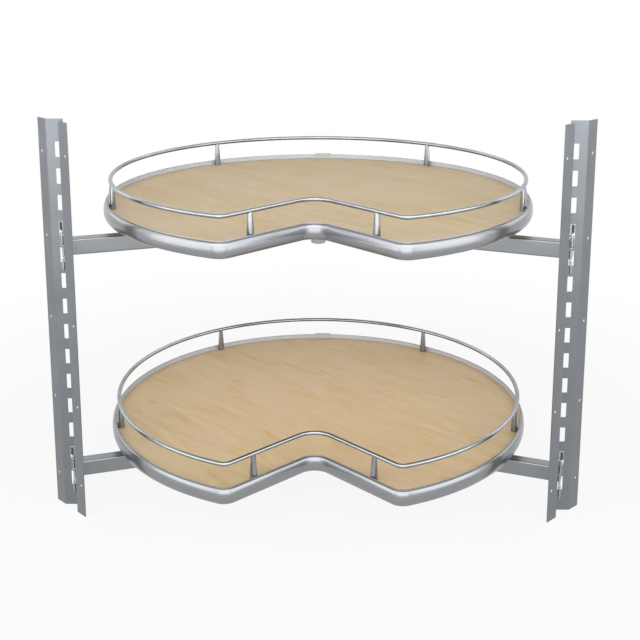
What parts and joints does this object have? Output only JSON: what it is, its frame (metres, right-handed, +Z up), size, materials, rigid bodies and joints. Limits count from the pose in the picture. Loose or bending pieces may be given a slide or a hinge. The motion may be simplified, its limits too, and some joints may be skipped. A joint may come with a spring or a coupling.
{
  "type": "corner carousel fitting",
  "caption": "Revolving corner-cabinet fitting: round boards with a front notch, edge profile and wire rail turn on arms hooked into slotted uprights.",
  "frame": {"origin": "centre of the bounding box in plan, at the height of the uprights' feet", "axes": "+X to the viewer's right along the cabinet's diagonal, +Y from the doors towards the corner, +Z up"},
  "size_m": [0.986, 0.7898, 0.736],
  "materials": {
    "upright_steel": "fine satin grey enamel over zinc",
    "arm_enamel": "satin grey enamel",
    "zinc_steel": "bright zinc",
    "maple_board": "satin maple decor",
    "anodised_profile": "satin anodised",
    "rail_steel": "satin chrome",
    "grey_plastic": "fine matt",
    "black_plastic": "fine matt",
    "bearing_steel": "ground"
  },
  "bodies": {
    "root": {"upright_left": "upright_steel", "upright_right": "upright_steel", "lower_lower_race": "bearing_steel", "lower_carrier_plate": "arm_enamel", "lower_hub_sleeve": "arm_enamel", "lower_bush_top": "black_plastic", "lower_bush_bottom": "black_plastic", "lower_arm_right": "arm_enamel", "lower_arm_left": "arm_enamel", "lower_hook_plate_right": "zinc_steel", "lower_hook_plate_left": "zinc_steel", "lower_lock_plug_right": "black_plastic", "lower_lock_plug_left": "black_plastic", "lower_lock_wire_right": "zinc_steel", "lower_lock_wire_left": "zinc_steel", "upper_lower_race": "bearing_steel", "upper_carrier_plate": "arm_enamel", "upper_hub_sleeve": "arm_enamel", "upper_bush_top": "black_plastic", "upper_bush_bottom": "black_plastic", "upper_arm_right": "arm_enamel", "upper_arm_left": "arm_enamel", "upper_hook_plate_right": "zinc_steel", "upper_hook_plate_left": "zinc_steel", "upper_lock_plug_right": "black_plastic", "upper_lock_plug_left": "black_plastic", "upper_lock_wire_right": "zinc_steel", "upper_lock_wire_left": "zinc_steel"},
    "lower_tray": {"lower_board": "maple_board", "lower_edge_profile": "anodised_profile", "lower_joint_cover": "grey_plastic", "lower_rail": "rail_steel", "lower_post_back_right": "rail_steel", "lower_post_back_left": "rail_steel", "lower_post_side_right": "rail_steel", "lower_post_side_left": "rail_steel", "lower_post_front_right": "rail_steel", "lower_post_front_left": "rail_steel", "lower_swivel_flange": "zinc_steel", "lower_upper_race": "bearing_steel", "lower_ball_cage": "bearing_steel", "lower_pivot_pin": "zinc_steel", "lower_cap_nut": "grey_plastic"},
    "upper_tray": {"upper_board": "maple_board", "upper_edge_profile": "anodised_profile", "upper_joint_cover": "grey_plastic", "upper_rail": "rail_steel", "upper_post_back_right": "rail_steel", "upper_post_back_left": "rail_steel", "upper_post_side_right": "rail_steel", "upper_post_side_left": "rail_steel", "upper_post_front_right": "rail_steel", "upper_post_front_left": "rail_steel", "upper_swivel_flange": "zinc_steel", "upper_upper_race": "bearing_steel", "upper_ball_cage": "bearing_steel", "upper_pivot_pin": "zinc_steel", "upper_cap_nut": "grey_plastic"}
  },
  "joints": [
    {"name": "upper_tray_turn", "type": "hinge", "parent": "root", "child": "upper_tray", "pos_m": [0, -0.01718, 0.5093], "axis": [0, 0, 1], "continuous": true},
    {"name": "lower_tray_turn", "type": "hinge", "parent": "root", "child": "lower_tray", "pos_m": [0, -0.01718, 0.0755], "axis": [0, 0, 1], "continuous": true}
  ]
}
